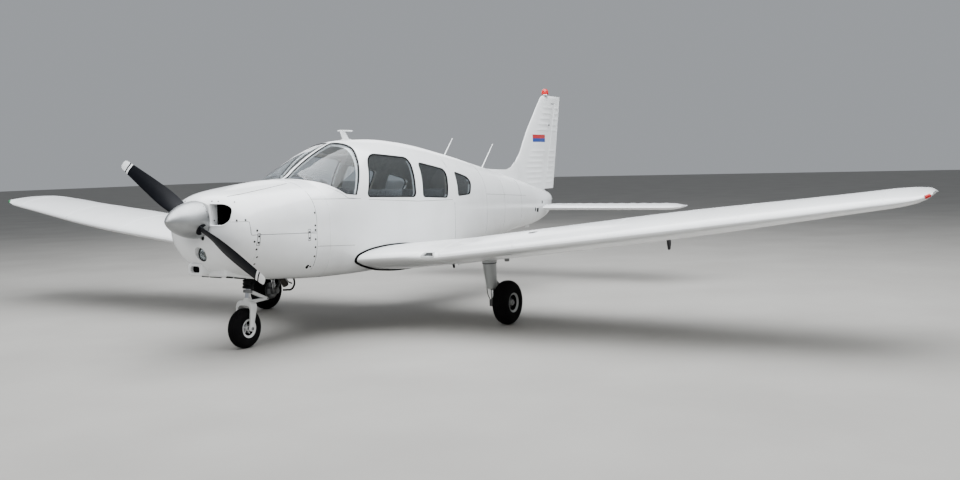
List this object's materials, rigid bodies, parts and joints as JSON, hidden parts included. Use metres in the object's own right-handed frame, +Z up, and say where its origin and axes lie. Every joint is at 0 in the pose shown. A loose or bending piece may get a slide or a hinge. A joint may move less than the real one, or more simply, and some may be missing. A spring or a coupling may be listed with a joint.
{
  "type": "light aircraft",
  "caption": "Low-wing piston light aircraft with fixed tricycle gear, all-moving tailplane, tapered wings, glazed cabin, and hinged control surfaces, propeller, wheels and doors.",
  "frame": {"origin": "on the ground under the middle of the whole length, on the centreline", "axes": "+X forward along the fuselage, +Y to port along the span, +Z up"},
  "size_m": [7.283, 10.67, 2.5344],
  "materials": {
    "white": "gloss white enamel on sheet",
    "grey": "satin light grey paint",
    "steel": "bare metal",
    "cast": "cast metal",
    "black": "matt black",
    "rubber": "matt rubber",
    "glass": "clear acrylic",
    "fabric": "woven",
    "panel": "matt",
    "red": "gloss",
    "green": "gloss",
    "lens": "clear"
  },
  "bodies": {
    "airframe": {"cabin_shell": "white", "tail_cone": "white", "nose_bowl": "white", "upper_cowl": "white", "lower_cowl": "white", "wing_left": "white", "wing_right": "white", "fin": "white", "pitot_mast": "white", "roof_antenna": "white", "whip_antenna_front": "white", "whip_antenna_rear": "white", "main_leg_left": "grey", "main_leg_right": "grey", "boarding_step": "grey", "exhaust_pipe": "steel", "main_axle_left": "steel", "main_axle_right": "steel", "nose_leg": "steel", "engine_block": "cast", "windshield_left": "glass", "windshield_right": "glass", "window_middle_left": "glass", "window_rear_left": "glass", "window_middle_right": "glass", "window_rear_right": "glass", "window_front_left": "glass", "seat_front_left": "fabric", "seat_front_right": "fabric", "seat_back_left": "fabric", "seat_back_right": "fabric", "rear_bench": "fabric", "rear_bench_back": "fabric", "cabin_floor": "fabric", "instrument_panel": "panel", "beacon": "red", "tip_lamp_left": "red", "tip_lamp_right": "green", "landing_light": "lens"},
    "propeller": {"propeller": "black", "spinner": "steel"},
    "nose_fork": {"nose_fork": "white"},
    "nose_wheel": {"nose_tyre": "rubber", "nose_hub": "grey"},
    "left_wheel": {"main_tyre_left": "rubber", "main_hub_left": "grey"},
    "right_wheel": {"main_tyre_right": "rubber", "main_hub_right": "grey"},
    "left_flap": {"flap_left": "white"},
    "right_flap": {"flap_right": "white"},
    "left_aileron": {"aileron_left": "white"},
    "right_aileron": {"aileron_right": "white"},
    "rudder": {"rudder": "white"},
    "stabilator": {"stabilator": "white"},
    "stabilator_tab": {"stabilator_tab": "white"},
    "cabin_door": {"cabin_door": "white", "door_window": "glass"},
    "baggage_door": {"baggage_door": "white"}
  },
  "joints": [
    {"name": "propeller_spin", "type": "hinge", "parent": "airframe", "child": "propeller", "pos_m": [3.3645, 0, 1.15], "axis": [1, 0, 0], "continuous": true},
    {"name": "rudder_turn", "type": "hinge", "parent": "airframe", "child": "rudder", "pos_m": [-3.0675, 0, 1.178], "axis": [-0.3276, 0, 0.9448], "range_deg": [-27, 27]},
    {"name": "nose_steer", "type": "hinge", "parent": "airframe", "child": "nose_fork", "pos_m": [2.7935, 0, 0.175], "axis": [-0.1822, 0, 0.9833], "range_deg": [-30, 30]},
    {"name": "nose_wheel_spin", "type": "hinge", "parent": "nose_fork", "child": "nose_wheel", "pos_m": [2.7935, 0, 0.175], "axis": [0, 1, 0], "continuous": true},
    {"name": "left_wheel_spin", "type": "hinge", "parent": "airframe", "child": "left_wheel", "pos_m": [0.7985, 1.524, 0.212], "axis": [0, 1, 0], "continuous": true},
    {"name": "right_wheel_spin", "type": "hinge", "parent": "airframe", "child": "right_wheel", "pos_m": [0.7985, -1.524, 0.212], "axis": [0, 1, 0], "continuous": true},
    {"name": "left_flap_lower", "type": "hinge", "parent": "airframe", "child": "left_flap", "pos_m": [0.2785, 0.64, 0.60953], "axis": [0, -0.9918, -0.1277], "range_deg": [0, 40]},
    {"name": "right_flap_lower", "type": "hinge", "parent": "airframe", "child": "right_flap", "pos_m": [0.2785, -0.64, 0.60953], "axis": [0, -0.9918, 0.1277], "range_deg": [0, 40]},
    {"name": "left_aileron_turn", "type": "hinge", "parent": "airframe", "child": "left_aileron", "pos_m": [0.2505, 2.792, 0.88486], "axis": [0.0678, 0.9882, 0.137], "range_deg": [-12.5, 25]},
    {"name": "right_aileron_turn", "type": "hinge", "parent": "airframe", "child": "right_aileron", "pos_m": [0.2505, -2.792, 0.88486], "axis": [-0.0678, 0.9882, -0.137], "range_deg": [-12.5, 25]},
    {"name": "stabilator_turn", "type": "hinge", "parent": "airframe", "child": "stabilator", "pos_m": [-2.9615, 0, 0.945], "axis": [0, 1, 0], "range_deg": [-2, 14]},
    {"name": "tab_turn", "type": "hinge", "parent": "stabilator", "child": "stabilator_tab", "pos_m": [-3.3965, 0, 0.945], "axis": [0, 1, 0], "range_deg": [-2, 12]},
    {"name": "cabin_door_swing", "type": "hinge", "parent": "airframe", "child": "cabin_door", "pos_m": [1.7765, -0.556, 1.075], "axis": [0, 0, 1], "range_deg": [0, 70]},
    {"name": "baggage_door_swing", "type": "hinge", "parent": "airframe", "child": "baggage_door", "pos_m": [-0.0855, -0.516, 0.98], "axis": [0, 0, 1], "range_deg": [0, 100]}
  ],
  "couplings": [
    {"joint": "nose_steer", "follows": "rudder_turn", "ratio": -1.11},
    {"joint": "tab_turn", "follows": "stabilator_turn", "ratio": 0.8}
  ]
}
